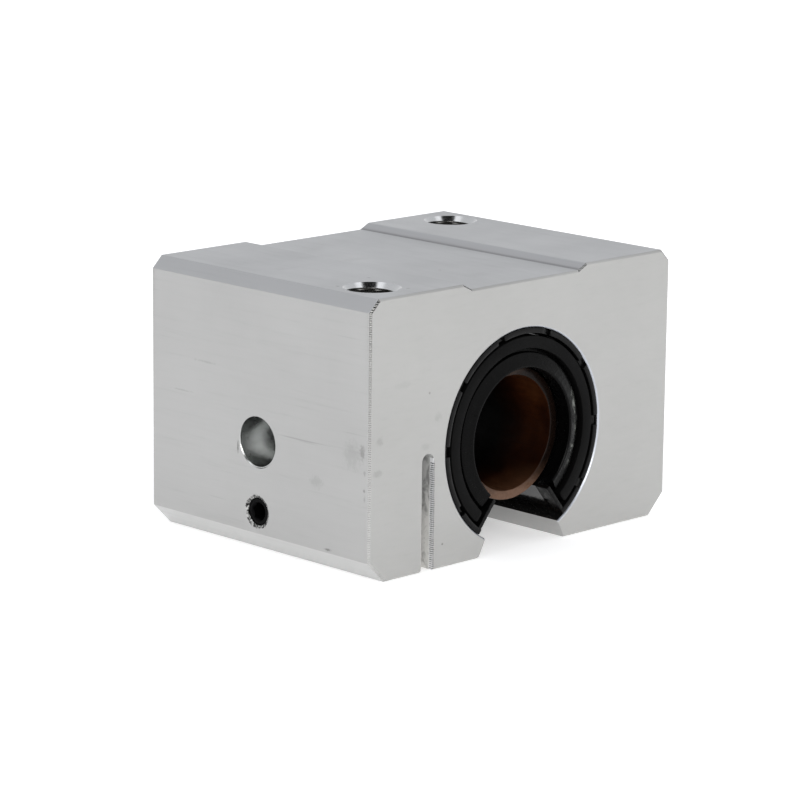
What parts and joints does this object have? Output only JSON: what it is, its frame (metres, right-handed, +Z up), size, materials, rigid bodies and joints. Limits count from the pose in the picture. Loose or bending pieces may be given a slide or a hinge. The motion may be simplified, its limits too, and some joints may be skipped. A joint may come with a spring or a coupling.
{
  "type": "open linear ball bearing block",
  "caption": "Open linear ball bearing block for a 25 mm supported shaft: aluminium housing with a side adjusting slit and set screw, holding an open ball bushing.",
  "frame": {"origin": "on the shaft axis, at the middle of the block's length", "axes": "+X across the block, away from the side with the adjusting slit; +Y along the shaft; +Z up, out of the two mounting pads"},
  "size_m": [0.078, 0.058, 0.051],
  "materials": {
    "machined_aluminium": "fine machined satin",
    "black_steel": "black oxide",
    "bright_steel": "turned",
    "black_plastic": "moulded, slightly oily",
    "ring_plastic": "moulded satin",
    "wiper_rubber": "greased",
    "bearing_steel": "ground",
    "ball_steel": "polished"
  },
  "bodies": {
    "housing": {"housing": "machined_aluminium", "locating_pin": "bright_steel", "outer_shell": "black_plastic", "ball_retainer": "black_plastic", "end_ring_front": "ring_plastic", "end_ring_rear": "ring_plastic", "wiper_front": "wiper_rubber", "wiper_rear": "wiper_rubber"},
    "adjusting_screw": {"adjusting_screw": "black_steel"},
    "bearing_plate_1": {"bearing_plate_1": "bearing_steel", "ball_circuit_1": "ball_steel"},
    "bearing_plate_2": {"bearing_plate_2": "bearing_steel", "ball_circuit_2": "ball_steel"},
    "bearing_plate_3": {"bearing_plate_3": "bearing_steel", "ball_circuit_3": "ball_steel"},
    "bearing_plate_4": {"bearing_plate_4": "bearing_steel", "ball_circuit_4": "ball_steel"},
    "bearing_plate_5": {"bearing_plate_5": "bearing_steel", "ball_circuit_5": "ball_steel"}
  },
  "joints": [
    {"name": "adjusting_screw_turn", "type": "hinge", "parent": "housing", "child": "adjusting_screw", "pos_m": [-0.0385, 0, -0.013], "axis": [1, 0, 0], "range_deg": [-360, 60]},
    {"name": "plate_1_rock", "type": "hinge", "parent": "housing", "child": "bearing_plate_1", "pos_m": [0, 0, 0.01997], "axis": [-1, 0, 0], "range_deg": [-0.5, 0.5]},
    {"name": "plate_2_rock", "type": "hinge", "parent": "housing", "child": "bearing_plate_2", "pos_m": [-0.01729, 0, 0.00999], "axis": [-0.5, 0, -0.866], "range_deg": [-0.5, 0.5]},
    {"name": "plate_3_rock", "type": "hinge", "parent": "housing", "child": "bearing_plate_3", "pos_m": [-0.01729, 0, -0.00999], "axis": [0.5, 0, -0.866], "range_deg": [-0.5, 0.5]},
    {"name": "plate_4_rock", "type": "hinge", "parent": "housing", "child": "bearing_plate_4", "pos_m": [0.01729, 0, 0.00999], "axis": [-0.5, 0, 0.866], "range_deg": [-0.5, 0.5]},
    {"name": "plate_5_rock", "type": "hinge", "parent": "housing", "child": "bearing_plate_5", "pos_m": [0.01729, 0, -0.00999], "axis": [0.5, 0, 0.866], "range_deg": [-0.5, 0.5]}
  ]
}
